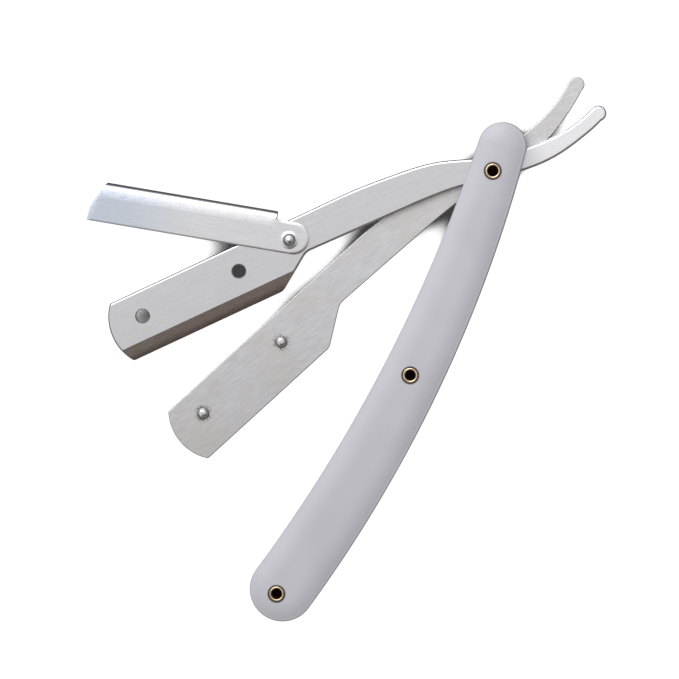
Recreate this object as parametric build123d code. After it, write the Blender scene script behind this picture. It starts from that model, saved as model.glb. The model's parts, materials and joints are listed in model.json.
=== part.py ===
"""Folding razor with a replaceable blade: two steel arms, a swing-over spine clip and a riveted handle.

Millimetres. The origin is on the pivot axis, in the plane of the rear scale's outer face. +X runs
along the handle from the pivot rivet to the end rivet, +Y points to the handle's bowed back, and
+Z points out of the front scale. The razor is drawn partly open, with the front arm swung off the
rear arm and the clip swung off the front arm.

Arms and clip are drawn in a frame of their own: u runs from the pivot to the tip, v from the
cutting edge to the spine.
"""
from build123d import *
import math
import os

# Arms
TIP_U = 112.3
SPINE_V = 11.2
EDGE_V = -5.5
ARM_T = 1.2
BEVEL_WIDTH = 3.9
EDGE_LAND = 0.35
HEEL_U = 54.9
TIP_CORNER_R = 0.9
HEEL_TOP_R = 4.0
HEEL_FOOT_R = 3.0
OUTER_EASE = 0.6
INNER_EASE = 0.25
REAR_ARM_ANGLE = 20.55
ARM_SPREAD = 17.4

# Handle: rivet positions, and how far the edges lie from each rivet (pivot, middle, end)
WEDGE_GAP = 1.7
WEDGE_TO_END_RIVET = 14.2
RIVET_SPAN = TIP_U + WEDGE_GAP + WEDGE_TO_END_RIVET
MIDDLE_RIVET = (59.0, 5.25)
BACK_MARGINS = (7.3, 8.65, 9.4)
BELLY_MARGINS = (6.3, 7.6, 8.5)
PIVOT_CAP_X = -7.0
END_CAP_X = 1.7
WEDGE_INSET = 0.7

# Scales
SCALE_T = 2.3
CROWN_WIDTH = 4.6
CROWN_DROP = 1.1
CROWN_EASE = 9.0
SCALE_EDGE_ROUND = 0.7

# Running clearances
AXLE_CLEARANCE = 0.05
SNUG_CLEARANCE = 0.02
FACE_CLEARANCE = 0.05

# Tubular rivets that hold the handle together
RIVET_D = 3.6
RIVET_WALL = 0.3
RIVET_BORE_D = RIVET_D - 2 * RIVET_WALL
RIVET_FLANGE_D = RIVET_D + 0.6
RIVET_FLANGE_T = 0.6
RIVET_FLOOR = 0.9
RIVET_RECESS_D = RIVET_FLANGE_D + 0.5
RIM_ROUND = 0.25

# Studs that locate the blade, and the holes that take them in the front arm
TIP_STUD_U = TIP_U - 9.9
STUD_SPACING = 28.8
STUD_U = (TIP_STUD_U - STUD_SPACING, TIP_STUD_U)
STUD_V = 4.45
STUD_D = 3.0
STUD_H = ARM_T
STUD_CROWN = 0.3
STUD_SHANK_D = 2.0
STUD_HOLE_D = STUD_D + 0.6
STUD_HOLE_EASE = 0.25

# Spine clip and its rivet
CLIP_RIVET = (57.6, SPINE_V - 4.9)
CLIP_OPEN_ANGLE = 34.5
CLIP_WALL = 0.5
CLIP_PAST_TIP = 0.3
CLIP_LENGTH = TIP_U - CLIP_RIVET[0] + CLIP_PAST_TIP
CLIP_BELOW = 3.7
CLIP_PAST_SPINE = 2.2
CLIP_ABOVE = SPINE_V - CLIP_RIVET[1] + CLIP_PAST_SPINE
CLIP_HEEL_R = 4.35
CLIP_HEEL = (-0.9, 0.6)
CLIP_FOLD_START = 4.4
CLIP_LIP = 4.2
CLIP_BOSS_H = 0.12
CLIP_SHANK_D = 2.0
CLIP_HEAD_D = 3.5
CLIP_HEAD_H = 0.9
CLIP_BOSS_D = CLIP_HEAD_D + 1.5
CLIP_TAIL_D = CLIP_SHANK_D + 0.9
CLIP_TAIL_H = 0.45

# Washers and spacer between the scales: a washer leaves room for the clip's sheet beside an arm
WASHER_D = RIVET_D + 5.4
WASHER_T = CLIP_WALL + 3 * FACE_CLEARANCE
SPACER_D = RIVET_D + 0.8

# Heights of the stack, from the rear scale's outer face up. The rear lip fits between the arms.
ARMS_APART = ARM_T + CLIP_WALL + 4 * FACE_CLEARANCE
SCALE_GAP = 2 * (WASHER_T + ARM_T) + ARMS_APART
REAR_ARM_Z = SCALE_T + WASHER_T
REAR_ARM_TOP = REAR_ARM_Z + ARM_T
FRONT_ARM_Z = REAR_ARM_TOP + ARMS_APART
FRONT_ARM_TOP = FRONT_ARM_Z + ARM_T
FRONT_GAP_Z = SCALE_T + SCALE_GAP
HANDLE_TOP = FRONT_GAP_Z + SCALE_T
CLIP_PLATE_Z = FRONT_ARM_TOP + FACE_CLEARANCE
CLIP_TOP = CLIP_PLATE_Z + CLIP_WALL
CLIP_LIP_Z = REAR_ARM_TOP + 2 * FACE_CLEARANCE

# A cut runs past the stock by this much
OVERRUN = 1.0
STANDING = (Align.CENTER, Align.CENTER, Align.MIN)

# Rivets in plan: pivot, middle and end
RIVETS = ((0.0, 0.0), MIDDLE_RIVET, (RIVET_SPAN, 0.0))


def disk(diameter, thickness, z=0.0, at=(0.0, 0.0)):
    """A plain disk or cylinder that stands on height z."""
    return Pos(at[0], at[1], z) * Cylinder(diameter / 2, thickness, align=STANDING)


def edge_circle(margins, side):
    """The circle that a long edge of the handle follows, as (centre, radius)."""
    points = [(x, y + side * margin) for (x, y), margin in zip(RIVETS, margins)]
    arc = ThreePointArc(*points)
    return arc.arc_center, arc.radius


BACK_CENTRE, BACK_RADIUS = edge_circle(BACK_MARGINS, 1)
BELLY_CENTRE, BELLY_RADIUS = edge_circle(BELLY_MARGINS, -1)


def inscribed(x):
    """The circle at station x that touches both long edges, as (centre, radius)."""
    low, high = BELLY_CENTRE.Y, BACK_CENTRE.Y + BACK_RADIUS
    while high - low > 1e-9:
        centre = Vector(x, (low + high) / 2)
        to_back = BACK_RADIUS - (centre - BACK_CENTRE).length
        to_belly = (centre - BELLY_CENTRE).length - BELLY_RADIUS
        if to_back > to_belly:
            low = centre.Y
        else:
            high = centre.Y
    return centre, to_back


def scale_outline(inset=0.0):
    """The handle's plan: a bowed band between two edge arcs, with round ends that touch both."""
    backs, bellies, tips = [], [], []
    for x, outward in ((PIVOT_CAP_X, -1), (RIVET_SPAN - END_CAP_X, 1)):
        centre, radius = inscribed(x)
        to_back = (centre - BACK_CENTRE).normalized()
        to_belly = (BELLY_CENTRE - centre).normalized()
        along = (to_back - to_belly).normalized().rotate(Axis.Z, -90 * outward)
        backs.append(centre + to_back * (radius - inset))
        bellies.append(centre + to_belly * (radius - inset))
        tips.append(centre + along * (radius - inset))
    centre, radius = inscribed(MIDDLE_RIVET[0])
    back_middle = centre + (centre - BACK_CENTRE).normalized() * (radius - inset)
    belly_middle = centre + (BELLY_CENTRE - centre).normalized() * (radius - inset)
    return make_face([
        ThreePointArc(backs[0], back_middle, backs[1]),
        ThreePointArc(backs[1], tips[1], bellies[1]),
        ThreePointArc(bellies[1], belly_middle, bellies[0]),
        ThreePointArc(bellies[0], tips[0], backs[0]),
    ])


def scale(front):
    """One crowned handle scale, with a recessed hole for each rivet."""
    wall_h = SCALE_T - CROWN_DROP
    rim = Pos(0, 0, wall_h) * scale_outline()
    land = Pos(0, 0, SCALE_T) * scale_outline(CROWN_WIDTH)
    body = extrude(scale_outline(), wall_h) + loft([rim, land], ruled=True)
    land = body.faces().sort_by(Axis.Z)[-1]
    body = fillet(land.edges(), CROWN_EASE)
    wall_top = body.edges().filter_by_position(Axis.Z, wall_h - 0.01, wall_h + 0.01)
    body = fillet(wall_top, SCALE_EDGE_ROUND)
    for at in RIVETS:
        body -= disk(RIVET_D + 2 * SNUG_CLEARANCE, SCALE_T, at=at)
        body -= disk(RIVET_RECESS_D, RIVET_FLANGE_T, SCALE_T - RIVET_FLANGE_T, at)
    if front:
        return Pos(0, 0, FRONT_GAP_Z) * body
    return Pos(0, 0, SCALE_T) * mirror(body, Plane.XY)


def tubular_rivet(at):
    """A rivet, flush with both outer faces, with a bore that is open at the front only."""
    body = disk(RIVET_D, HANDLE_TOP, at=at)
    body += disk(RIVET_FLANGE_D, RIVET_FLANGE_T, at=at)
    body += disk(RIVET_FLANGE_D, RIVET_FLANGE_T, HANDLE_TOP - RIVET_FLANGE_T, at)
    body -= disk(RIVET_BORE_D, HANDLE_TOP, RIVET_FLOOR, at)
    ring = body.edges().filter_by_position(Axis.Z, HANDLE_TOP - 0.01, HANDLE_TOP + 0.01)
    return fillet(ring, RIM_ROUND)


def tube(outer_d, length, z, at=(0.0, 0.0), clearance=AXLE_CLEARANCE):
    """A washer or spacer on a handle rivet."""
    return disk(outer_d, length, z, at) - disk(RIVET_D + 2 * clearance, length, z, at)


def end_wedge():
    """The block that keeps the scales apart beyond the tip of the folded arms."""
    body = Pos(0, 0, SCALE_T) * extrude(scale_outline(WEDGE_INSET), SCALE_GAP)
    body -= disk(2 * (TIP_U + WEDGE_GAP), SCALE_GAP, SCALE_T)
    return body - disk(RIVET_D + 2 * SNUG_CLEARANCE, SCALE_GAP, SCALE_T, RIVETS[-1])


def arm_outline():
    """Plan of either arm: tip, straight spine, shank, tang and tail, with the cutting edge below."""
    spine_end = (TIP_U - 3.2, SPINE_V)
    edge_end = (TIP_U - 2.6, EDGE_V)
    shank_top = (40.0, SPINE_V)
    tail_top = (-31.6, 4.0)
    tail_tip = (-34.2, 2.1)
    tail_foot = (-32.0, -0.1)
    heel_top = (HEEL_U, 1.4)
    heel_foot = (65.0, EDGE_V)
    upper = Spline(
        [shank_top, (23.5, 10.2), (12.3, 8.4), (3.2, 5.1), (-8.5, 2.2), (-19.0, 1.5), (-26.0, 2.3), tail_top],
        tangents=[(-1, 0), (-0.95, 0.32)],
    )
    lower = Spline(
        [tail_foot, (-25.5, -2.1), (-16.5, -3.7), (-5.5, -3.1), (8.0, -0.5), (24.0, 0.8)],
        tangents=[(0.92, -0.38), (1, 0.04)],
    )
    outline = [
        ThreePointArc(edge_end, (TIP_U, 2.4), spine_end),
        Line(spine_end, shank_top),
        upper,
        ThreePointArc(tail_top, tail_tip, tail_foot),
        lower,
        Line(lower @ 1, heel_top),
        Line(heel_top, heel_foot),
        Line(heel_foot, edge_end),
    ]
    plan = make_face(outline)
    corners = {edge_end: TIP_CORNER_R, spine_end: TIP_CORNER_R, heel_top: HEEL_TOP_R, heel_foot: HEEL_FOOT_R}
    for point, radius in corners.items():
        at = [v for v in plan.vertices() if (v.center() - Vector(*point)).length < 0.01]
        plan = fillet(at, radius)
    return plan


def arm_blank():
    """An arm in its own frame, bevelled towards the edge on its upper face."""
    body = extrude(arm_outline(), ARM_T)
    body = fillet(body.faces().sort_by(Axis.Z)[-1].edges(), OUTER_EASE)
    body = fillet(body.faces().sort_by(Axis.Z)[0].edges(), INNER_EASE)
    bevel_top = EDGE_V + BEVEL_WIDTH
    fall = (ARM_T - EDGE_LAND) / BEVEL_WIDTH
    section = Polyline(
        (HEEL_U, bevel_top, ARM_T),
        (HEEL_U, EDGE_V - OVERRUN, EDGE_LAND - fall * OVERRUN),
        (HEEL_U, EDGE_V - OVERRUN, ARM_T + OVERRUN),
        (HEEL_U, bevel_top, ARM_T + OVERRUN),
        close=True,
    )
    body -= extrude(make_face(section), TIP_U - HEEL_U + OVERRUN, dir=(1, 0, 0))
    return body - disk(RIVET_D + 2 * AXLE_CLEARANCE, ARM_T)


def placed(shape, angle):
    """Turn a shape from the arms' u, v frame into the razor's frame, swung open by the angle."""
    return Rot(0, 0, -angle) * mirror(shape, Plane.XZ)


def front_arm():
    """The arm that carries the clip, with open holes for the studs."""
    body = arm_blank()
    hole_r = STUD_HOLE_D / 2
    for u in STUD_U:
        body -= disk(STUD_HOLE_D, ARM_T, at=(u, STUD_V))
        ease = Cone(hole_r, hole_r + STUD_HOLE_EASE, STUD_HOLE_EASE, align=STANDING)
        body -= Pos(u, STUD_V, ARM_T - STUD_HOLE_EASE) * ease
    body -= disk(CLIP_SHANK_D, ARM_T, at=CLIP_RIVET)
    body -= clip_rivet_tail()
    return placed(Pos(0, 0, FRONT_ARM_Z) * body, REAR_ARM_ANGLE + ARM_SPREAD)


def rear_arm():
    """The arm that carries the studs, bevelled on the face that turns away from the front arm."""
    body = arm_blank()
    for u in STUD_U:
        body -= disk(STUD_SHANK_D, ARM_T, at=(u, STUD_V))
    return Pos(0, 0, REAR_ARM_TOP) * Rot(0, 0, -REAR_ARM_ANGLE) * Rot(180, 0, 0) * body


def blade_stud(u):
    """A round stud riveted into the rear arm, with a softly domed end."""
    shank = disk(STUD_SHANK_D, ARM_T, REAR_ARM_Z, (u, STUD_V))
    head = disk(STUD_D, STUD_H, REAR_ARM_TOP, (u, STUD_V))
    crown = head.faces().sort_by(Axis.Z)[-1]
    head = fillet(crown.edges(), STUD_CROWN)
    return placed(shank + head, REAR_ARM_ANGLE)


def clip_rivet_tail():
    """The conical tail of the clip's rivet, flush with the front arm's inner face."""
    return Pos(*CLIP_RIVET, 0) * Cone(CLIP_TAIL_D / 2, CLIP_SHANK_D / 2, CLIP_TAIL_H, align=STANDING)


def clip_rivet():
    """A domed rivet fixed in the front arm, on which the clip turns."""
    shank_top = CLIP_TOP + CLIP_BOSS_H + FACE_CLEARANCE
    body = disk(CLIP_SHANK_D, shank_top - FRONT_ARM_Z, FRONT_ARM_Z, CLIP_RIVET)
    body += Pos(0, 0, FRONT_ARM_Z) * clip_rivet_tail()
    dome_r = (CLIP_HEAD_D**2 / 4 + CLIP_HEAD_H**2) / (2 * CLIP_HEAD_H)
    dome = Pos(*CLIP_RIVET, shank_top + CLIP_HEAD_H - dome_r) * Sphere(dome_r)
    dome &= disk(2 * CLIP_HEAD_D, CLIP_HEAD_H, shank_top, CLIP_RIVET)
    return placed(body + dome, REAR_ARM_ANGLE + ARM_SPREAD)


def clip_tip_cut(z_low, z_high):
    """All that lies inside the clip's curved tip, as a tall block."""
    foot = (CLIP_LENGTH, -CLIP_BELOW)
    head = (CLIP_LENGTH - 3.9, CLIP_ABOVE)
    top = CLIP_ABOVE + OVERRUN
    back = CLIP_HEEL[0] - CLIP_HEEL_R - OVERRUN
    sides = [
        ThreePointArc(foot, (CLIP_LENGTH - 1.0, 2.2), head),
        Polyline(head, (head[0], top), (back, top), (back, -CLIP_BELOW), foot),
    ]
    return Pos(0, 0, z_low) * extrude(make_face(sides), z_high - z_low)


def spine_clip():
    """Sheet-metal cover: a front plate, a round fold over the spine and a short rear lip."""
    outer_r = (CLIP_TOP - CLIP_LIP_Z) / 2
    fold_v = CLIP_ABOVE - outer_r
    fold_z = CLIP_LIP_Z + outer_r
    heel = disk(2 * CLIP_HEEL_R, CLIP_WALL, CLIP_PLATE_Z, CLIP_HEEL)
    plate_start = CLIP_HEEL[0]
    low = (Align.MIN, Align.MIN, Align.MIN)
    plate = Pos(plate_start, -CLIP_BELOW, CLIP_PLATE_Z) * Box(
        CLIP_LENGTH - plate_start, CLIP_BELOW + CLIP_HEEL[1] + CLIP_HEEL_R, CLIP_WALL, align=low
    )
    folded = CLIP_LENGTH - CLIP_FOLD_START
    cover = Pos(CLIP_FOLD_START, 0, CLIP_PLATE_Z) * Box(folded, fold_v, CLIP_WALL, align=low)
    lip = Pos(CLIP_FOLD_START, fold_v - CLIP_LIP, CLIP_LIP_Z) * Box(folded, CLIP_LIP, CLIP_WALL, align=low)
    ring = Circle(outer_r) - Circle(outer_r - CLIP_WALL)
    ring &= Pos(outer_r, 0) * Rectangle(2 * outer_r, 2 * outer_r)
    fold = extrude(Plane((CLIP_FOLD_START, fold_v, fold_z), x_dir=(0, 1, 0), z_dir=(1, 0, 0)) * ring, folded)
    body = heel + plate + cover + lip + fold
    body &= clip_tip_cut(CLIP_LIP_Z - OVERRUN, CLIP_TOP + OVERRUN)
    body += Pos(0, 0, CLIP_TOP) * Cone(CLIP_BOSS_D / 2, CLIP_HEAD_D / 2, CLIP_BOSS_H, align=STANDING)
    body -= disk(CLIP_SHANK_D + 2 * AXLE_CLEARANCE, CLIP_WALL + CLIP_BOSS_H, CLIP_PLATE_Z)
    body = Pos(*CLIP_RIVET, 0) * Rot(0, 0, CLIP_OPEN_ANGLE) * body
    return placed(body, REAR_ARM_ANGLE + ARM_SPREAD)


def build():
    """Every piece of the razor, by name."""
    pieces = {
        "rear_scale": scale(front=False),
        "front_scale": scale(front=True),
        "pivot_rivet": tubular_rivet(RIVETS[0]),
        "middle_rivet": tubular_rivet(RIVETS[1]),
        "end_rivet": tubular_rivet(RIVETS[2]),
        "rear_pivot_washer": tube(WASHER_D, WASHER_T, SCALE_T),
        "front_pivot_washer": tube(WASHER_D, WASHER_T, FRONT_ARM_TOP),
        "middle_spacer": tube(SPACER_D, SCALE_GAP, SCALE_T, RIVETS[1], SNUG_CLEARANCE),
        "end_wedge": end_wedge(),
        "rear_arm": rear_arm(),
        "heel_stud": blade_stud(STUD_U[0]),
        "tip_stud": blade_stud(STUD_U[1]),
        "front_arm": front_arm(),
        "clip_rivet": clip_rivet(),
        "spine_clip": spine_clip(),
    }
    return pieces


os.makedirs("parts", exist_ok=True)
for name, shape in build().items():
    export_step(shape, f"parts/{name}.step")
    print(f"{name}: {shape.volume:.1f} mm3")
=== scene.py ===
"""Looks of a folding barber razor: two steel arms, a swing-over spine clip and a riveted plastic handle.

Laid out as an add-on and run as a script. The frame is in metres. The origin is on the pivot axis in the
plane of the handle's rear face, +X runs along the handle and +Z points out of its front face.
Shapes are worked out in millimetres and scaled once, when a piece is finished.
"""

import json
import math

import bmesh
import bpy
from mathutils import Matrix, Vector

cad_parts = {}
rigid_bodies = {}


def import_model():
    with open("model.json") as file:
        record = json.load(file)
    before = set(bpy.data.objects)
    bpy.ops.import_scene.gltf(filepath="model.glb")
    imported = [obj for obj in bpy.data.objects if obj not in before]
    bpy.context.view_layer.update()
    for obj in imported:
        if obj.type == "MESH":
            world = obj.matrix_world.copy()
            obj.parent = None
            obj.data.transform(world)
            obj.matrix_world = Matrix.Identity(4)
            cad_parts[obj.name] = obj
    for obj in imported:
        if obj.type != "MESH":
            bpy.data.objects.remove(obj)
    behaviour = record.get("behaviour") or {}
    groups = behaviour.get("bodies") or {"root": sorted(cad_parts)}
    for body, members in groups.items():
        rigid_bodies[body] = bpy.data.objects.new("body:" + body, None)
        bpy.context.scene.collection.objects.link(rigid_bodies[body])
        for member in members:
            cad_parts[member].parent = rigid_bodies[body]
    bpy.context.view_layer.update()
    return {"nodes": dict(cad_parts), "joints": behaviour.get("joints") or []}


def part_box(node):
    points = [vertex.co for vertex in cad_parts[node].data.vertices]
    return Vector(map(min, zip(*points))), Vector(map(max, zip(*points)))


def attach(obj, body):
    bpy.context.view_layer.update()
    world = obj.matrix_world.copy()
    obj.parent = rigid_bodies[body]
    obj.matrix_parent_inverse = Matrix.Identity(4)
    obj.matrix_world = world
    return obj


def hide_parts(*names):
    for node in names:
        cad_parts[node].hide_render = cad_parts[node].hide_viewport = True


bl_info = {
    "name": "Folding Razor",
    "version": (1, 0, 0),
    "blender": (4, 5, 0),
    "location": "3D View > Sidebar > Razor",
    "description": "Builds the visible pieces, finishes and stage of a folding razor",
    "category": "Object",
}

for leftover in list(bpy.data.objects):
    bpy.data.objects.remove(leftover)
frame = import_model()

MM = 0.001
BLENDS_TO_SMOOTH = math.radians(32)
FULL_TURN = math.tau
ROUND_STEPS = 64
JOIN_DISTANCE = 1e-4


# Places that come from the frame, in millimetres


def low_corner(node):
    """Lowest corner of a CAD node."""
    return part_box(node)[0] / MM


def high_corner(node):
    """Highest corner of a CAD node."""
    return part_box(node)[1] / MM


def centre_of(node):
    """Middle of a CAD node's box."""
    return (low_corner(node) + high_corner(node)) / 2


def joint_limit(name):
    """Angle, in radians, by which a hinged piece stands open from its closed place."""
    found = next(joint for joint in frame["joints"] if joint["name"] == name)
    return math.radians(-found["range_deg"][0])


STUDS_APART = centre_of("tip_stud") - centre_of("heel_stud")
REAR_TURN = math.atan2(-STUDS_APART.y, STUDS_APART.x)
FRONT_TURN = REAR_TURN + joint_limit("arm_spread")
CLIP_TURN = FRONT_TURN + joint_limit("clip_swing")
HANDLE_TOP = high_corner("front_scale").z
FRONT_SCALE_Z = low_corner("front_scale").z
REAR_SCALE_TOP = high_corner("rear_scale").z
RIVET_NODES = ("pivot_rivet", "middle_rivet", "end_rivet")


def arm_frame(turn, at=(0.0, 0.0)):
    """Matrix from an arm's own frame (u to the tip, v to the spine, z outwards) to the razor's."""
    cos, sin = math.cos(turn), math.sin(turn)
    return Matrix(((cos, -sin, 0, at[0]), (-sin, -cos, 0, at[1]), (0, 0, 1, 0), (0, 0, 0, 1)))


# Sizes and colours that a user would change


def length(name, description, millimetres):
    """A length property with its default in millimetres."""
    return bpy.props.FloatProperty(
        name=name, description=description, default=millimetres * MM, min=0, unit="LENGTH", precision=5
    )


def colour(name, description, value):
    """A colour property."""
    return bpy.props.FloatVectorProperty(
        name=name, description=description, default=value, size=3, min=0, max=1, subtype="COLOR"
    )


def factor(name, description, value):
    """A share from 0 to 1."""
    return bpy.props.FloatProperty(
        name=name, description=description, default=value, min=0, max=1, subtype="FACTOR"
    )


class RazorHandleSettings(bpy.types.PropertyGroup):
    """Shape and finish of the two scales."""

    crown_width: length("Crown width", "How far the crown reaches in from the edge", 6.2)
    crown_drop: length("Crown drop", "How much lower the crown's edge is than its middle", 1.05)
    edge_round: length("Edge round", "Radius between the crown and the side wall", 0.6)
    recess: length("Recess diameter", "Diameter of the sinking round each rivet", 4.7)
    recess_depth: length("Recess depth", "Depth of the sinking round each rivet", 0.6)
    bore: length("Rivet hole", "Diameter of the hole for a rivet", 3.64)
    base: colour("Plastic", "Colour of the plastic", (0.605, 0.597, 0.645))
    roughness: factor("Roughness", "Roughness of the plastic", 0.34)


class RazorRivetSettings(bpy.types.PropertyGroup):
    """Shape and finish of the tubular rivets."""

    shank: length("Shank diameter", "Outer diameter of the tube", 3.6)
    flange: length("Rim diameter", "Outer diameter of the rolled rim", 4.2)
    bore: length("Bore diameter", "Diameter of the open bore", 2.8)
    floor: length("Floor", "Thickness of the closed end", 0.9)
    brass: colour("Brass", "Colour of polished brass", (0.86, 0.67, 0.44))
    # Painted shade colour for the inside of the bore.
    bore_shade: colour("Bore_shade", "Colour of the dull bore", (0.110, 0.055, 0.022))


class RazorSteelSettings(bpy.types.PropertyGroup):
    """Studs, clip rivet and the finish of the steel."""

    stud_round: length("Stud crown", "Radius round the end of a stud", 0.95)
    stud_shank: length("Stud shank", "Diameter of a stud's shank", 2.0)
    dome_head: length("Dome diameter", "Diameter of the clip rivet's head", 3.5)
    dome_height: length("Dome height", "Height of the clip rivet's head", 0.9)
    rear: colour("Rear arm", "Colour of the rear arm's steel", (0.69, 0.70, 0.72))
    front: colour("Front arm", "Colour of the front arm's steel", (0.73, 0.73, 0.75))
    clip: colour("Clip", "Colour of the clip's steel", (0.80, 0.80, 0.82))


class RazorClipSettings(bpy.types.PropertyGroup):
    """Shape of the folded clip."""

    wall: length("Sheet", "Thickness of the sheet", 0.5)
    heel_radius: length("Heel radius", "Radius of the round end at the rivet", 4.35)
    fold_start: length("Fold start", "Distance from the rivet to the fold's near end", 4.4)
    lip: length("Lip depth", "Depth of the rear lip", 4.2)
    boss: length("Boss diameter", "Diameter of the raised ring under the rivet's head", 5.0)
    boss_height: length("Boss height", "Height of the raised ring", 0.12)
    hole: length("Rivet hole", "Diameter of the hole for the rivet", 2.1)
    edge: length("Edge round", "Rounding of the sheet's cut edges", 0.14)
    heel_roll: length("Heel roll", "Width of the rolled-down rim at the heel", 0.9)
    tip_roll: length("Tip roll", "Width of the rolled-down rim at the tip", 1.6)
    shoulder: length("Shoulder", "Width of the easing between the plate and the fold", 2.4)
    shoulder_drop: length("Shoulder drop", "How far the plate falls by the fold", 0.15)
    foot_roll: length("Foot roll", "Width of the rolled-down rim at the open edge", 0.5)
    roll_drop: length("Roll drop", "How far a rolled-down rim falls", 0.12)


class RazorStageSettings(bpy.types.PropertyGroup):
    """Camera, light and floor."""

    field: length("Field", "Width of the picture at the razor", 183.5)
    distance: length("Distance", "Distance from the camera to the razor", 1200)
    tilt: bpy.props.FloatProperty(
        name="Tilt", description="Camera's angle off the vertical", default=math.radians(4.5), subtype="ANGLE"
    )
    sky: factor("Sky", "Brightness overhead", 0.78)
    key_power: bpy.props.FloatProperty(
        name="Key power", description="Power of the main light", default=3.6, min=0, unit="POWER"
    )


# Mesh helpers


def closed_shape(bm):
    """Merge doubles and point all faces outwards."""
    bmesh.ops.remove_doubles(bm, verts=bm.verts[:], dist=JOIN_DISTANCE)
    bmesh.ops.recalc_face_normals(bm, faces=bm.faces[:])


def mesh_object(name, bm):
    """Turn a bmesh, in millimetres, into an object of its own."""
    mesh = bpy.data.meshes.new(name)
    bm.to_mesh(mesh)
    bm.free()
    made = bpy.data.objects.new(name, mesh)
    bpy.context.scene.collection.objects.link(made)
    return made


def spun_solid(profile, at):
    """Solid of revolution about a vertical axis, from (radius, height) points that start and end on it."""
    bm = bmesh.new()
    corners = [bm.verts.new((at[0] + radius, at[1], height)) for radius, height in profile]
    edges = [bm.edges.new(pair) for pair in zip(corners, corners[1:])]
    bmesh.ops.spin(
        bm, geom=corners + edges, cent=(at[0], at[1], 0), axis=(0, 0, 1), dvec=(0, 0, 0), angle=FULL_TURN,
        steps=ROUND_STEPS, use_merge=True, use_duplicate=False,
    )
    closed_shape(bm)
    return bm


def quarter(centre, radius, start, sweep, steps=6):
    """Points of an arc in the profile plane, in degrees."""
    angles = [math.radians(start + sweep * step / steps) for step in range(steps + 1)]
    return [(centre[0] + radius * math.cos(a), centre[1] + radius * math.sin(a)) for a in angles]


def apply_modifiers(made):
    """Replace an object's mesh by what its modifiers make of it."""
    bpy.context.view_layer.update()
    result = bpy.data.meshes.new_from_object(made.evaluated_get(bpy.context.evaluated_depsgraph_get()))
    made.modifiers.clear()
    made.data = result


def cut(made, tool_meshes):
    """Take spun solids away from an object."""
    for tool_mesh in tool_meshes:
        tool = mesh_object("cutter", tool_mesh)
        boolean = made.modifiers.new("Cut", "BOOLEAN")
        boolean.operation = "DIFFERENCE"
        boolean.solver = "EXACT"
        boolean.object = tool
        apply_modifiers(made)
        bpy.data.objects.remove(tool)


def finish_piece(made, body, replaced, finish):
    """Scale a piece to metres, smooth it, give it its body, slot and finish, and hide the CAD node that it
    stands in for.
    """
    if not made.data.polygons:
        raise RuntimeError(f"{made.name} has no faces")
    made.data.transform(Matrix.Scale(MM, 4))
    made.data.shade_smooth()
    made.data.set_sharp_from_angle(angle=BLENDS_TO_SMOOTH)
    made.data.materials.clear()
    made.data.materials.append(finish)
    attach(made, body)
    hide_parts(replaced)


# Node helpers


def add(tree, kind, inputs=None, **settings):
    """Put a node in a tree. Inputs maps socket names or numbers to values, or to sockets that feed them."""
    made = tree.nodes.new(kind)
    for name, value in settings.items():
        setattr(made, name, value)
    for name, value in (inputs or {}).items():
        if isinstance(value, bpy.types.NodeSocket):
            tree.links.new(value, made.inputs[name])
        else:
            made.inputs[name].default_value = value
    return made


def product(tree, vector, scale):
    """Two vectors multiplied part by part."""
    return add(tree, "ShaderNodeVectorMath", {0: vector, 1: scale}, operation="MULTIPLY").outputs[0]


def maths(tree, operation, *values):
    """Result of a Math node."""
    return add(tree, "ShaderNodeMath", dict(enumerate(values)), operation=operation).outputs[0]


def remap(tree, value, low, high, to_low=0.0, to_high=1.0):
    """Value moved smoothly from one range to another."""
    limits = {"Value": value, "From Min": low, "From Max": high, "To Min": to_low, "To Max": to_high}
    return add(tree, "ShaderNodeMapRange", limits, interpolation_type="SMOOTHSTEP").outputs["Result"]


def mix_colours(tree, share, first, second):
    """Blend of two colours."""
    return add(tree, "ShaderNodeMix", {0: share, 6: first, 7: second}, data_type="RGBA").outputs[2]


def rgba(value):
    """Colour with full alpha."""
    return (*value[:3], 1.0)


def shaded(value, share):
    """Colour made darker or lighter."""
    return tuple(min(part * share, 1.0) for part in value[:3])


def noise(tree, position, scale, detail=3.0, roughness=0.55):
    """Noise from 0 to 1."""
    inputs = {"Vector": position, "Scale": scale, "Detail": detail, "Roughness": roughness}
    return add(tree, "ShaderNodeTexNoise", inputs).outputs["Fac"]


def new_group(name, inputs, outputs):
    """Empty node group. Inputs maps a name to its socket type and default."""
    tree = bpy.data.node_groups.new(name, "ShaderNodeTree")
    for label, (kind, default) in inputs.items():
        socket = tree.interface.new_socket(label, in_out="INPUT", socket_type=kind)
        socket.default_value = default
    for label in outputs:
        tree.interface.new_socket(label, in_out="OUTPUT", socket_type="NodeSocketFloat")
    return tree, tree.nodes.new("NodeGroupInput").outputs, tree.nodes.new("NodeGroupOutput").inputs


VECTOR = ("NodeSocketVector", (0, 0, 0))
# Dirt and painted shade: width of the painted shade ring at the foot of the studs and round the rivet
# sinkings, and the dark colours of that ring and of the dirt patches.
SHADE_RING_WIDTH = 0.4 * MM
DIRT_AND_SHADE_ON_STEEL = (0.06, 0.05, 0.045, 1)
DIRT_AND_SHADE_ON_PLASTIC = (0.05, 0.04, 0.035, 1)


def number(default):
    """Float socket with a default."""
    return ("NodeSocketFloat", default)


def stretched(tree, position, along, across, shrink=1.0):
    """Position scaled so that noise of scale 1 is drawn out along X."""
    lengthwise = maths(tree, "DIVIDE", shrink, along)
    crosswise = maths(tree, "DIVIDE", shrink, across)
    scale = add(tree, "ShaderNodeCombineXYZ", {"X": lengthwise, "Y": crosswise, "Z": crosswise}).outputs[0]
    return product(tree, position, scale)


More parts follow.
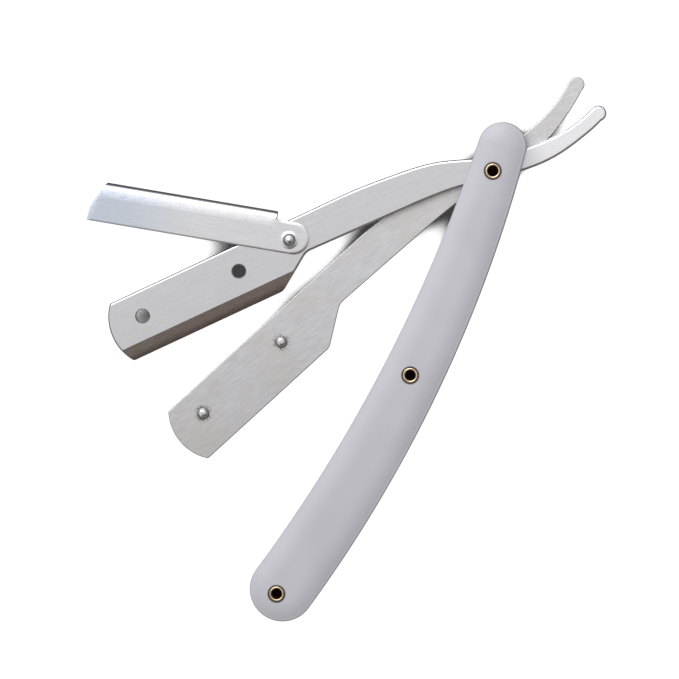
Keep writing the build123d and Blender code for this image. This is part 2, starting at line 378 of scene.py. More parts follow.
def build_brushed_grain():
    """Streaks that a brushing wheel leaves along X: a broad set and a fine set."""
    inputs = {"Position": VECTOR, "Along": number(0.008), "Across": number(0.0004)}
    tree, given, out = new_group("brushed_grain", inputs, ("Streaks", "Fine"))
    for label, shrink in (("Streaks", 1.0), ("Fine", 3.0)):
        position = stretched(tree, given["Position"], given["Along"], given["Across"], shrink)
        tree.links.new(noise(tree, position, 1.0, 1.5, 0.6), out[label])


def build_fine_scratches():
    """Sparse hairline scratches that wander a little from X."""
    inputs = {"Position": VECTOR, "Length": number(0.012), "Spacing": number(0.0015)}
    tree, given, out = new_group("fine_scratches", inputs, ("Mask",))
    value = noise(tree, stretched(tree, given["Position"], given["Length"], given["Spacing"]), 1.0, 2.0)
    ridge = maths(tree, "ABSOLUTE", maths(tree, "SUBTRACT", value, 0.5))
    tree.links.new(remap(tree, ridge, 0.012, 0.0), out["Mask"])


def build_mottle():
    """Slow, cloudy variation."""
    tree, given, out = new_group("mottle", {"Position": VECTOR, "Size": number(0.01)}, ("Value",))
    value = noise(tree, given["Position"], maths(tree, "DIVIDE", 1.0, given["Size"]), 3.0)
    tree.links.new(remap(tree, value, 0.3, 0.7), out["Value"])


def build_rubbed_and_shaded_edges():
    """Mask of sharp edges, broken up by noise."""
    inputs = {"Position": VECTOR, "Radius": number(0.0002)}
    tree, given, out = new_group("rubbed_and_shaded_edges", inputs, ("Mask",))
    softened = add(tree, "ShaderNodeBevel", {"Radius": given["Radius"]}, samples=4).outputs[0]
    plain = add(tree, "ShaderNodeNewGeometry").outputs["Normal"]
    both = {0: softened, 1: plain}
    turned = add(tree, "ShaderNodeVectorMath", both, operation="DOT_PRODUCT").outputs["Value"]
    edge = remap(tree, turned, 0.995, 0.85)
    broken = remap(tree, noise(tree, given["Position"], 900.0), 0.3, 0.6, 0.35, 1.0)
    tree.links.new(maths(tree, "MULTIPLY", edge, broken), out["Mask"])


def build_dirt_and_shade_spot():
    """Patchy dirt round a point in plan, clear beyond its reach, and a painted shade ring: full strength
    inside the inner radius, fading out just beyond it.
    """
    inputs = {"Position": VECTOR, "Centre": VECTOR, "Inner": number(0.0015), "Reach": number(0.003)}
    tree, given, out = new_group("dirt_and_shade_spot", inputs, ("Mask",))
    ends = {0: given["Position"], 1: given["Centre"]}
    offset = add(tree, "ShaderNodeVectorMath", ends, operation="SUBTRACT").outputs[0]
    in_plan = product(tree, offset, (1, 1, 0))
    away = add(tree, "ShaderNodeVectorMath", {0: in_plan}, operation="LENGTH").outputs["Value"]
    span = {"Value": away, "From Min": given["Inner"], "From Max": given["Reach"]}
    span.update({"To Min": 1.0, "To Max": 0.0})
    near = add(tree, "ShaderNodeMapRange", span).outputs["Result"]
    patches = remap(tree, noise(tree, given["Position"], 1600.0, 2.0), 0.40, 0.62)
    ring = remap(tree, away, maths(tree, "ADD", given["Inner"], SHADE_RING_WIDTH), given["Inner"])
    tree.links.new(maths(tree, "MAXIMUM", maths(tree, "MULTIPLY", near, patches), ring), out["Mask"])


def use_group(tree, name, inputs):
    """Place a shared effect in a material."""
    return add(tree, "ShaderNodeGroup", inputs, node_tree=bpy.data.node_groups[name]).outputs


def new_material(name, turn=0.0):
    """Material with a Principled shader, and Object coordinates turned so that X lies along the piece."""
    material = bpy.data.materials.new(name)
    material.use_nodes = True
    tree = material.node_tree
    shader = tree.nodes["Principled BSDF"]
    place = add(tree, "ShaderNodeTexCoord").outputs["Object"]
    turned = add(tree, "ShaderNodeMapping", {"Vector": place, "Rotation": (0, 0, turn)}).outputs[0]
    return material, tree, shader, turned


def add_bump(tree, shader, height, distance, strength=1.0):
    """Feed a height into the shader's normal."""
    inputs = {"Height": height, "Distance": distance, "Strength": strength}
    tree.links.new(add(tree, "ShaderNodeBump", inputs).outputs[0], shader.inputs["Normal"])


# Tones of the steel, some of them painted light: a dark edge shade, a lighter tail sheen, a dark bevel
# reflection and a blue-grey tip reflection. A zone is (axis, start, end, share, colour), with its stations in
# millimetres

WARM_STEEL = (0.66, 0.61, 0.58)
# Painted shade: dark tone painted along the clip's sharp edges.
PAINTED_EDGE_SHADE = (0.10, 0.095, 0.095)
BRUSH_SKEW = math.radians(12)
# Painted sheen: the front arm's polished tail is painted lighter than the rest of the arm.
TAIL_PAINTED_SHEEN = 1.34
TAIL_STATIONS = (-8, -16)
# Painted reflection: the front arm's bevel is painted darker brown towards its lower edge, standing in for
# the dark table it reflects.
BEVEL_PAINTED_REFLECTION = ("Y", 3.2, 5.5, 0.75, (0.22, 0.19, 0.17))
# Painted reflection: the clip's tip is painted blue-grey.
TIP_PAINTED_REFLECTION = ("X", 74, 100, 0.9, (0.62, 0.67, 0.76))


def steel(name, base, turn, roughness, grain=0.12, relief=0.002 * MM, dirt_and_shade_spots=(), along=8 * MM,
          across=0.4 * MM, skew=0.0, warm=None, warm_share=0.35, zones=(), rim=0.2 * MM, edge_shade_tone=None):
    """Brushed steel: streaked colour and roughness, hairline scratches, edges brightened as wear unless an
    edge tone paints them dark as painted shade, and optional dirt spots, each with a painted shade ring.

    A zone is (axis, start, end, share, colour): the colour takes over from start to end along an axis.
    """
    material, tree, shader, place = new_material(name, turn)
    brushed = add(tree, "ShaderNodeMapping", {"Vector": place, "Rotation": (0, 0, skew)}).outputs[0]
    streaks = use_group(tree, "brushed_grain", {"Position": brushed, "Along": along, "Across": across})
    cloud = use_group(tree, "mottle", {"Position": place, "Size": 9 * MM})["Value"]
    edge_mask = use_group(tree, "rubbed_and_shaded_edges", {"Position": place, "Radius": rim})["Mask"]
    scratch = use_group(tree, "fine_scratches", {"Position": place})["Mask"]
    streak = remap(tree, streaks["Streaks"], 0.3, 0.7)
    dark, light = rgba(shaded(base, 1 - grain)), rgba(shaded(base, 1 + grain))
    shade = mix_colours(tree, streak, dark, light)
    warmed = maths(tree, "MULTIPLY", cloud, warm_share)
    shade = mix_colours(tree, warmed, shade, rgba(warm or shaded(base, 0.93)))
    shade = mix_colours(tree, maths(tree, "MULTIPLY", scratch, 0.25), shade, rgba(shaded(base, 1.2)))
    # Edges brighten as wear; a given edge tone instead paints them dark as painted shade.
    edge_tone_share = maths(tree, "MULTIPLY", edge_mask, 0.9 if edge_shade_tone else 0.5)
    shade = mix_colours(tree, edge_tone_share, shade, rgba(edge_shade_tone or shaded(base, 1.25)))
    for axis, start, end, share, taken in zones:
        station = add(tree, "ShaderNodeSeparateXYZ", {"Vector": place}).outputs[axis]
        reached = remap(tree, station, start * MM, end * MM, 0.0, share)
        shade = mix_colours(tree, reached, shade, rgba(taken))
    # Dirt patches round each spot, with a painted shade ring where the stud meets the arm.
    for spot in dirt_and_shade_spots:
        plain = add(tree, "ShaderNodeTexCoord").outputs["Object"]
        inputs = {"Position": plain, "Centre": spot, "Inner": 1.5 * MM, "Reach": 2.6 * MM}
        dirt_and_shade_mask = use_group(tree, "dirt_and_shade_spot", inputs)["Mask"]
        shade = mix_colours(tree, maths(tree, "MULTIPLY", dirt_and_shade_mask, 0.95), shade, DIRT_AND_SHADE_ON_STEEL)
    tree.links.new(shade, shader.inputs["Base Color"])
    uneven = remap(tree, streaks["Fine"], 0.2, 0.8, roughness - 0.05, roughness + 0.07)
    tree.links.new(uneven, shader.inputs["Roughness"])
    shader.inputs["Metallic"].default_value = 1.0
    add_bump(tree, shader, streaks["Fine"], relief)
    return material


def plastic(name, base, roughness, sinkings=(), reach=0.0):
    """Moulded plastic: faint cloudiness, handling scratches and a slightly rippled gloss, with dirt patches
    and a painted shade ring round each given sinking.
    """
    material, tree, shader, place = new_material(name)
    cloud = use_group(tree, "mottle", {"Position": place, "Size": 14 * MM})["Value"]
    spread = {"Position": place, "Length": 18 * MM, "Spacing": 3 * MM}
    scratch = use_group(tree, "fine_scratches", spread)["Mask"]
    edge_mask = use_group(tree, "rubbed_and_shaded_edges", {"Position": place})["Mask"]
    shade = mix_colours(tree, cloud, rgba(shaded(base, 0.975)), rgba(shaded(base, 1.02)))
    shade = mix_colours(tree, maths(tree, "MULTIPLY", edge_mask, 0.3), shade, rgba(shaded(base, 1.15)))
    # Dirt patches and a painted shade ring at the edge of each rivet sinking.
    for spot in sinkings:
        inputs = {"Position": place, "Centre": spot, "Inner": reach, "Reach": reach + SHADE_RING_WIDTH}
        dirt_and_shade_mask = use_group(tree, "dirt_and_shade_spot", inputs)["Mask"]
        shade = mix_colours(tree, maths(tree, "MULTIPLY", dirt_and_shade_mask, 0.85), shade, DIRT_AND_SHADE_ON_PLASTIC)
    tree.links.new(shade, shader.inputs["Base Color"])
    gloss = maths(tree, "ADD", remap(tree, cloud, 0, 1, roughness - 0.03, roughness + 0.03),
                  maths(tree, "MULTIPLY", scratch, 0.08))
    tree.links.new(gloss, shader.inputs["Roughness"])
    shader.inputs["IOR"].default_value = 1.49
    add_bump(tree, shader, noise(tree, place, 350.0, 2.0), 0.01 * MM, 0.5)
    return material


def rivet_brass(name, polished, bore_shade):
    """Brass that is bright on its rolled rims, with painted shade inside the bore: dark brown there, and
    rougher and less metallic.
    """
    material, tree, shader, place = new_material(name)
    cloud = use_group(tree, "mottle", {"Position": place, "Size": 1.2 * MM})["Value"]
    height = add(tree, "ShaderNodeSeparateXYZ", {"Vector": place}).outputs["Z"]
    above_rear = remap(tree, height, 0.3 * MM, 0.6 * MM)
    below_rim = remap(tree, height, (HANDLE_TOP - 0.20) * MM, (HANDLE_TOP - 0.65) * MM)
    # Painted shade: the bore below the rim is painted dark brown, and made rougher and less metallic.
    dull = maths(tree, "MULTIPLY", above_rear, below_rim)
    bright = mix_colours(tree, cloud, rgba(shaded(polished, 0.8)), rgba(shaded(polished, 1.15)))
    tree.links.new(mix_colours(tree, dull, bright, rgba(bore_shade)), shader.inputs["Base Color"])
    tree.links.new(remap(tree, dull, 0, 1, 0.22, 0.7), shader.inputs["Roughness"])
    tree.links.new(remap(tree, dull, 0, 1, 1.0, 0.3), shader.inputs["Metallic"])
    add_bump(tree, shader, noise(tree, place, 2500.0), 0.006 * MM)
    return material


def stamped_brass(name, base):
    """Plain stamped brass with mottled colour and a fine bump."""
    material, tree, shader, place = new_material(name)
    cloud = use_group(tree, "mottle", {"Position": place, "Size": 2 * MM})["Value"]
    tree.links.new(mix_colours(tree, cloud, rgba(shaded(base, 0.8)), rgba(base)), shader.inputs["Base Color"])
    tree.links.new(remap(tree, cloud, 0, 1, 0.3, 0.45), shader.inputs["Roughness"])
    shader.inputs["Metallic"].default_value = 1.0
    add_bump(tree, shader, noise(tree, place, 3000.0), 0.005 * MM)
    return material


def dress(node, finish):
    """Give a CAD node its finish."""
    for slot in frame["nodes"][node].material_slots:
        slot.material = finish


# Handle outline: two long arcs past the three rivets, closed by round ends that touch both

BACK_MARGINS = (7.3, 8.65, 9.4)
BELLY_MARGINS = (6.3, 7.6, 8.5)
PIVOT_CAP_X = -7.0
END_CAP_INSET = 1.7
LONG_ARC_STEPS = 110
END_ARC_STEPS = 40
ROUND_OVER_STEPS = 6
CROWN_STEPS = 16
CROWN_POWER = 2.2
HALVINGS = 60


def rivet_centres():
    """The three rivets in plan."""
    return [centre_of(node).xy for node in RIVET_NODES]


def circle_through(a, b, c):
    """Centre and radius of the circle through three points."""
    ab, ac = b - a, c - a
    turn = 2 * (ab.x * ac.y - ab.y * ac.x)
    offset = Vector((ac.y * ab.length_squared - ab.y * ac.length_squared,
                     ab.x * ac.length_squared - ac.x * ab.length_squared)) / turn
    return a + offset, offset.length


def edge_circle(margins, side):
    """Centre and radius of the arc that passes each rivet at its margin."""
    return circle_through(*(Vector((p.x, p.y + side * gap)) for p, gap in zip(rivet_centres(), margins)))


def end_circle(x, back, belly):
    """Circle at station x that touches both long arcs."""
    low, high = belly[0].y, back[0].y + back[1]
    for _ in range(HALVINGS):
        centre = Vector((x, (low + high) / 2))
        to_back = back[1] - (centre - back[0]).length
        if to_back > (centre - belly[0]).length - belly[1]:
            low = centre.y
        else:
            high = centre.y
    return centre, to_back


def sweep(bm, vertex, centre, target, steps, clockwise):
    """Carry a vertex round a centre until it points at the target, and return where it ends."""
    start, end = vertex.co.xy - centre, target - centre
    angle = (math.atan2(start.y, start.x) - math.atan2(end.y, end.x)) % FULL_TURN
    angle = -angle if clockwise else FULL_TURN - angle
    swept = bmesh.ops.spin(
        bm, geom=[vertex], cent=(*centre, 0), axis=(0, 0, 1), dvec=(0, 0, 0), angle=angle, steps=steps,
        use_merge=False, use_duplicate=False,
    )
    return next(item for item in swept["geom_last"] if isinstance(item, bmesh.types.BMVert))


def scale_face(bm):
    """Plan of a scale as one face."""
    back, belly = edge_circle(BACK_MARGINS, 1), edge_circle(BELLY_MARGINS, -1)
    ends = [end_circle(x, back, belly) for x in (PIVOT_CAP_X, rivet_centres()[-1].x - END_CAP_INSET)]
    backs = [c + (c - back[0]).normalized() * r for c, r in ends]
    bellies = [c + (belly[0] - c).normalized() * r for c, r in ends]
    vertex = bm.verts.new((*backs[0], 0))
    vertex = sweep(bm, vertex, back[0], backs[1], LONG_ARC_STEPS, True)
    vertex = sweep(bm, vertex, ends[1][0], bellies[1], END_ARC_STEPS, True)
    vertex = sweep(bm, vertex, belly[0], bellies[0], LONG_ARC_STEPS, False)
    sweep(bm, vertex, ends[0][0], backs[0], END_ARC_STEPS, True)
    bmesh.ops.remove_doubles(bm, verts=bm.verts[:], dist=1e-3)
    return bmesh.ops.contextual_create(bm, geom=bm.edges[:])["faces"][0]


def crown_profile(settings, thickness):
    """Steps of (inset, height) from the top of the side wall to the flat middle."""
    drop, width, ease = settings.crown_drop / MM, settings.crown_width / MM, settings.edge_round / MM
    rim = thickness - drop
    steps = []
    for step in range(1, ROUND_OVER_STEPS + 1):
        turn = math.radians(90 / ROUND_OVER_STEPS * step)
        steps.append((ease * (1 - math.cos(turn)), rim - ease + ease * math.sin(turn)))
    for step in range(1, CROWN_STEPS + 1):
        share = step / CROWN_STEPS
        inset = ease + (width - ease) * share
        steps.append((inset, rim + drop * (1 - (1 - share) ** CROWN_POWER)))
    return steps


def crowned_scale(name, settings, thickness):
    """One scale, flat below and crowned above, standing on height 0."""
    bm = bmesh.new()
    base = scale_face(bm)
    raised = bmesh.ops.extrude_face_region(bm, geom=[base], use_keep_orig=True)["geom"]
    top = next(item for item in raised if isinstance(item, bmesh.types.BMFace))
    steps = crown_profile(settings, thickness)
    wall = thickness - settings.crown_drop / MM - settings.edge_round / MM
    for vertex in top.verts:
        vertex.co.z = wall
    reached = 0.0
    for inset, height in steps:
        bmesh.ops.inset_region(bm, faces=[top], thickness=inset - reached, use_even_offset=True)
        for vertex in top.verts:
            vertex.co.z = height
        reached = inset
    closed_shape(bm)
    return mesh_object(name, bm)


def rivet_sinking(at, settings, thickness):
    """Solid that cuts a rivet's hole and sinking."""
    hole, sinking = settings.bore / MM / 2, settings.recess / MM / 2
    floor = thickness - settings.recess_depth / MM
    above = thickness + 1
    profile = [(0, -1), (hole, -1), (hole, floor), (sinking, floor), (sinking, above), (0, above)]
    return spun_solid(profile, at)


class RAZOR_OT_scales(bpy.types.Operator):
    """Build the two crowned scales"""

    bl_idname = "razor.scales"
    bl_label = "Scales"

    def execute(self, context):
        settings = context.scene.razor_handle
        spots = [(*at * MM, 0.0) for at in rivet_centres()]
        reach = (settings.recess - 0.2 * MM) / 2
        finish = plastic("handle_plastic", settings.base, settings.roughness, spots, reach)
        thickness = HANDLE_TOP - FRONT_SCALE_Z
        for name, node in (("scale_front", "front_scale"), ("scale_rear", "rear_scale")):
            made = crowned_scale(name, settings, thickness)
            cut(made, [rivet_sinking(at, settings, thickness) for at in rivet_centres()])
            if node == "front_scale":
                made.data.transform(Matrix.Translation((0, 0, FRONT_SCALE_Z)))
            else:
                turned_over = Matrix.Scale(-1, 4, (0, 0, 1))
                made.data.transform(Matrix.Translation((0, 0, REAR_SCALE_TOP)) @ turned_over)
                made.data.flip_normals()
            finish_piece(made, "handle", node, finish)
        return {"FINISHED"}


# Rivets and studs

RIVET_RIM_HEIGHT = 0.6
BORE_FOOT_ROUND = 0.4
CLIP_SHANK_RADIUS = 1.0
CLIP_TAIL_RADIUS = 1.45
CLIP_TAIL_HEIGHT = 0.45
STUD_STEEL = (0.74, 0.74, 0.75)


class RAZOR_OT_rivets(bpy.types.Operator):
    """Build the three tubular rivets"""

    bl_idname = "razor.rivets"
    bl_label = "Rivets"

    def execute(self, context):
        settings = context.scene.razor_rivet
        finish = rivet_brass("rivet_brass", settings.brass, settings.bore_shade)
        shank, rim, bore = (size / MM / 2 for size in (settings.shank, settings.flange, settings.bore))
        floor, roll = settings.floor / MM, (rim - bore) / 2
        for node, at in zip(RIVET_NODES, rivet_centres()):
            profile = [(0, 0)]
            profile += quarter((rim - roll / 2, roll / 2), roll / 2, -90, 90)
            rim_foot = HANDLE_TOP - RIVET_RIM_HEIGHT
            profile += [(rim, RIVET_RIM_HEIGHT), (shank, RIVET_RIM_HEIGHT)]
            profile += [(shank, rim_foot), (rim, rim_foot)]
            profile += quarter((rim - roll, HANDLE_TOP - roll), roll, 0, 180, 12)
            profile += quarter((bore - BORE_FOOT_ROUND, floor + BORE_FOOT_ROUND), BORE_FOOT_ROUND, 0, -90)
            profile += [(0, floor)]
            made = mesh_object(node.replace("_rivet", "_eyelet"), spun_solid(profile, at))
            finish_piece(made, "handle", node, finish)
        return {"FINISHED"}


class RAZOR_OT_studs(bpy.types.Operator):
    """Build the two blade studs and the clip's domed rivet"""

    bl_idname = "razor.studs"
    bl_label = "Studs and clip rivet"

    def execute(self, context):
        settings = context.scene.razor_steel
        finish = steel("stud_steel", STUD_STEEL, 0.0, 0.11, grain=0.05)
        arm_top = high_corner("rear_arm").z
        shank, ease = settings.stud_shank / MM / 2, settings.stud_round / MM
        for node in ("heel_stud", "tip_stud"):
            low, high = low_corner(node), high_corner(node)
            head = (high.x - low.x) / 2
            profile = [(0, low.z), (shank, low.z), (shank, arm_top), (head, arm_top)]
            profile += quarter((head - ease, high.z - ease), ease, 0, 90)
            profile += [(0, high.z)]
            made = mesh_object(node.replace("_stud", "_blade_stud"), spun_solid(profile, centre_of(node).xy))
            finish_piece(made, "rear_arm_body", node, finish)
        low, high = low_corner("clip_rivet"), high_corner("clip_rivet")
        head, height = settings.dome_head / MM / 2, settings.dome_height / MM
        dome = (head**2 + height**2) / (2 * height)
        edge = math.degrees(math.acos(head / dome))
        profile = [(0, low.z), (CLIP_TAIL_RADIUS, low.z), (CLIP_SHANK_RADIUS, low.z + CLIP_TAIL_HEIGHT)]
        profile += [(CLIP_SHANK_RADIUS, high.z - height), (head, high.z - height)]
        profile += quarter((0, high.z - dome), dome, edge, 90 - edge, 14)[1:]
        made = mesh_object("clip_dome_rivet", spun_solid(profile, centre_of("clip_rivet").xy))
        finish_piece(made, "front_arm_body", "clip_rivet", finish)
        return {"FINISHED"}


# Clip outline in its own frame, about its rivet. The mesh is closer together at the heel and the tip

CLIP_HEEL = (-0.9, 0.6)
CLIP_BELOW = 3.7
CLIP_ABOVE = 7.1
CLIP_TIP_FOOT = 55.0
CLIP_TIP_MIDDLE = (54.0, 2.2)
CLIP_TIP_HEAD = 51.1
COLUMNS_HEEL = 44
COLUMNS_FOLD = 120
ROWS_PLATE = 56
ROWS_FOLD = 28
ROWS_LIP = 12
HEEL_FADE = 2.0
FOLD_FADE = 1.5
SHOULDER_POWER = 1.5
HEEL_CROWDING = 1.5
TIP_CROWDING = 1.6
FACE_TOLERANCE = 1e-3


def tip_station(v):
    """Where the clip's curved tip lies at height v."""
    foot, head = Vector((CLIP_TIP_FOOT, -CLIP_BELOW)), Vector((CLIP_TIP_HEAD, CLIP_ABOVE))
    centre, radius = circle_through(foot, Vector(CLIP_TIP_MIDDLE), head)
    return centre.x + math.sqrt(radius**2 - (v - centre.y) ** 2)


def clip_section(settings, plate_top, lip_low):
    """Outer line of the fold as (v, z, on the heel): up the plate, round the fold and down the lip."""
    radius = (plate_top - lip_low) / 2
    fold_v, fold_z = CLIP_ABOVE - radius, lip_low + radius
    heel_r, heel_v = settings.heel_radius / MM, CLIP_HEEL[1]
    foot = math.asin((-CLIP_BELOW - heel_v) / heel_r) if heel_r > CLIP_BELOW + heel_v else -math.pi / 2
    line = []
    for row in range(ROWS_PLATE + 1):
        angle = foot + (math.pi / 2 - foot) * row / ROWS_PLATE
        line.append((heel_v + heel_r * math.sin(angle), plate_top, True))
    for row in range(1, ROWS_FOLD + 1):
        angle = math.pi / 2 - math.pi * row / ROWS_FOLD
        line.append((fold_v + radius * math.cos(angle), fold_z + radius * math.sin(angle), False))
    for row in range(1, ROWS_LIP + 1):
        line.append((fold_v - settings.lip / MM * row / ROWS_LIP, lip_low, False))
    return line


def rim_fall(settings, u, v):
    """How far the plate's outer face is rolled down at a point, by its distance from each rim."""
    heel_r = settings.heel_radius / MM
    heel_top = CLIP_HEEL[1] + heel_r
    behind = u < CLIP_HEEL[0]
    heel_gap = heel_r - math.hypot(u - CLIP_HEEL[0], v - CLIP_HEEL[1]) if behind else heel_top - v
    fade = min(max((settings.fold_start / MM - u) / HEEL_FADE, 0), 1)
    foot_gap = heel_gap if behind else v + CLIP_BELOW
    falls = (
        (heel_gap, settings.heel_roll, 1.0 if behind else fade),
        (foot_gap, settings.foot_roll, 1.0),
        (tip_station(v) - u, settings.tip_roll, 1.0),
    )
    shares = [weight * max(1 - max(gap, 0) / (width / MM), 0) ** 2 for gap, width, weight in falls]
    return settings.roll_drop / MM * max(shares)


def shoulder_fall(settings, u, v, fold_v, radius):
    """How far the outer face is eased down towards the fold, and round it to the fold's middle."""
    width, drop = settings.shoulder / MM, settings.shoulder_drop / MM
    fade = min(max((u - settings.fold_start / MM) / FOLD_FADE, 0), 1)
    if v <= fold_v:
        share = max(1 - (fold_v - v) / width, 0) ** SHOULDER_POWER
    else:
        share = math.sqrt(max(1 - ((v - fold_v) / radius) ** 2, 0))
    return fade * drop * share


class RAZOR_OT_spine_clip(bpy.types.Operator):
    """Build the folded spine clip"""

    bl_idname = "razor.spine_clip"
    bl_label = "Spine clip"

    def execute(self, context):
        settings = context.scene.razor_clip
        low, high = low_corner("spine_clip"), high_corner("spine_clip")
        plate_top = high.z - settings.boss_height / MM
        line = clip_section(settings, plate_top, low.z)
        columns = COLUMNS_HEEL + COLUMNS_FOLD
        bm = bmesh.new()
        bmesh.ops.create_grid(bm, x_segments=columns, y_segments=len(line) - 1, size=0.5)
        fold_start = settings.fold_start / MM
        heel_r = settings.heel_radius / MM
        inner, outer = context.scene.razor_steel.dome_head / MM / 2, settings.boss / MM / 2
        unfolded = []
        for vertex in bm.verts:
            column, row = round((vertex.co.x + 0.5) * columns), round((vertex.co.y + 0.5) * (len(line) - 1))
            v, z, on_heel = line[row]
            if column < COLUMNS_HEEL:
                if not on_heel:
                    unfolded.append(vertex)
                    continue
                left = CLIP_HEEL[0] - math.sqrt(max(heel_r**2 - (v - CLIP_HEEL[1]) ** 2, 0))
                u = left + (fold_start - left) * (column / COLUMNS_HEEL) ** HEEL_CROWDING
            else:
                share = 1 - (1 - (column - COLUMNS_HEEL) / COLUMNS_FOLD) ** TIP_CROWDING
                u = fold_start + (tip_station(v) - fold_start) * share
            rise = min(max((outer - math.hypot(u, v)) / (outer - inner), 0), 1)
            lift = settings.boss_height / MM * rise * rise * (3 - 2 * rise) if z == plate_top else 0
            vertex.co = (u, v, z + lift)
        bmesh.ops.delete(bm, geom=unfolded, context="VERTS")
        closed_shape(bm)
        plate = min(bm.faces, key=lambda face: (face.calc_center_median().xy - Vector((20, 0))).length
                    + abs(face.calc_center_median().z - plate_top))
        if plate.normal.z < 0:
            bmesh.ops.reverse_faces(bm, faces=bm.faces[:])
        made = mesh_object("clip_sheet", bm)
        sheet = made.modifiers.new("Sheet", "SOLIDIFY")
        sheet.thickness = settings.wall / MM
        sheet.offset = -1
        sheet.use_even_offset = True
        apply_modifiers(made)
        radius = (plate_top - low.z) / 2
        fold_v, fold_z = CLIP_ABOVE - radius, low.z + radius
        for vertex in made.data.vertices:
            u, v, z = vertex.co
            on_top = z > plate_top - FACE_TOLERANCE
            on_fold = math.hypot(v - fold_v, z - fold_z) > radius - FACE_TOLERANCE
            if z > fold_z and (on_top if v <= fold_v else on_fold):
                on_plate = rim_fall(settings, u, v) if on_top else 0
                vertex.co.z -= max(on_plate, shoulder_fall(settings, u, v, fold_v, radius))
        hole = settings.hole / MM / 2
        cut(made, [spun_solid([(0, low.z), (hole, low.z), (hole, high.z + 1), (0, high.z + 1)], (0, 0))])
        edges = made.modifiers.new("Edges", "BEVEL")
        edges.width = settings.edge / MM
        edges.segments = 3
        edges.limit_method = "ANGLE"
        edges.angle_limit = math.radians(50)
        apply_modifiers(made)
        made.data.transform(arm_frame(CLIP_TURN, centre_of("clip_rivet").xy))
        made.data.flip_normals()
        # Painted shade on the clip's sharp edges, and a painted reflection tinting its tip blue-grey.
        finish = steel("clip_steel", context.scene.razor_steel.clip, CLIP_TURN, 0.24, grain=0.03,
                       zones=(TIP_PAINTED_REFLECTION,), rim=0.32 * MM, edge_shade_tone=PAINTED_EDGE_SHADE)
        finish_piece(made, "clip_body", "spine_clip", finish)
        return {"FINISHED"}


class RAZOR_OT_arms(bpy.types.Operator):
    """Finish the two steel arms"""

    bl_idname = "razor.arms"
    bl_label = "Arms"

    def execute(self, context):
        settings = context.scene.razor_steel
        spots = [tuple(centre_of(node) * MM) for node in ("heel_stud", "tip_stud")]
        # Dirt patches and painted shade rings round the two studs.
        rear = steel("rear_arm_steel", settings.rear, REAR_TURN, 0.36, grain=0.08, dirt_and_shade_spots=spots, along=4 * MM,
                     across=0.35 * MM, skew=BRUSH_SKEW, warm=WARM_STEEL, warm_share=0.5)
        # Painted sheen: the tail is painted lighter.
        tail = ("X", *TAIL_STATIONS, 1.0, shaded(settings.front, TAIL_PAINTED_SHEEN))
        front = steel("front_arm_steel", settings.front, FRONT_TURN, 0.24, grain=0.02, relief=0.0006 * MM,
                      zones=(tail, BEVEL_PAINTED_REFLECTION))
        dress("rear_arm", rear)
        dress("front_arm", front)
        return {"FINISHED"}


class RAZOR_OT_inner_pieces(bpy.types.Operator):
    """Finish the washers, the spacer and the wedge between the scales"""

    bl_idname = "razor.inner_pieces"
    bl_label = "Washers, spacer and wedge"

    def execute(self, context):
        washer = stamped_brass("washer_brass", (0.60, 0.44, 0.20))
        dress("rear_pivot_washer", washer)
        dress("front_pivot_washer", washer)
        dress("middle_spacer", steel("spacer_steel", (0.6, 0.6, 0.61), 0.0, 0.3))
        handle = context.scene.razor_handle
        dress("end_wedge", plastic("wedge_plastic", shaded(handle.base, 0.92), 0.5))
        return {"FINISHED"}


# Stage: directions seen from the camera, and where it looks

IMAGE_RIGHT = Vector((-0.4567, 0.8897, 0)).normalized()
IMAGE_UP = Vector((-0.8897, -0.4567, 0)).normalized()
TILT_TOWARDS = Vector((-0.93, 0.36, 0)).normalized()
TARGET = Vector((59.47, -16.23, 5.0)) * MM
KEY_SIDE = (IMAGE_UP - 0.5 * IMAGE_RIGHT).normalized()
KEY_LEAN = math.radians(40)
SKY_LEAN = math.radians(36)
KEY_SIZE = 0.68
KEY_DISTANCE = 0.85
FLOOR_SIZE = 3.0
FLOOR_PLACE = Vector((0.06, -0.02, -0.00005))
CARD_SIZE = 0.36
CARD_DISTANCE = 0.5
CARD_BACK = Vector((0.3614, 0.3148, 0.8771)).normalized()


def lean(angle):
    """Direction that leans from straight up towards the main light's side."""
    return KEY_SIDE * math.sin(angle) + Vector((0, 0, math.cos(angle)))


def look_from(made, back, right):
    """Turn an object so that it looks against back, with right to its right."""
    across = (right - right.dot(back) * back).normalized()
    up = back.cross(across)
    made.matrix_world = Matrix.Translation(made.location) @ Matrix((across, up, back)).transposed().to_4x4()


def stage_plane(name, size, place, back):
    """Flat square of the stage."""
    bm = bmesh.new()
    bmesh.ops.create_grid(bm, x_segments=1, y_segments=1, size=size / 2)
    made = mesh_object(name, bm)
    made.location = place
    look_from(made, back, IMAGE_RIGHT)
    return made


def bare_material(name):
    """Material with an output and no shader yet."""
    material = bpy.data.materials.new(name)
    material.use_nodes = True
    tree = material.node_tree
    tree.nodes.remove(tree.nodes["Principled BSDF"])
    return material, tree


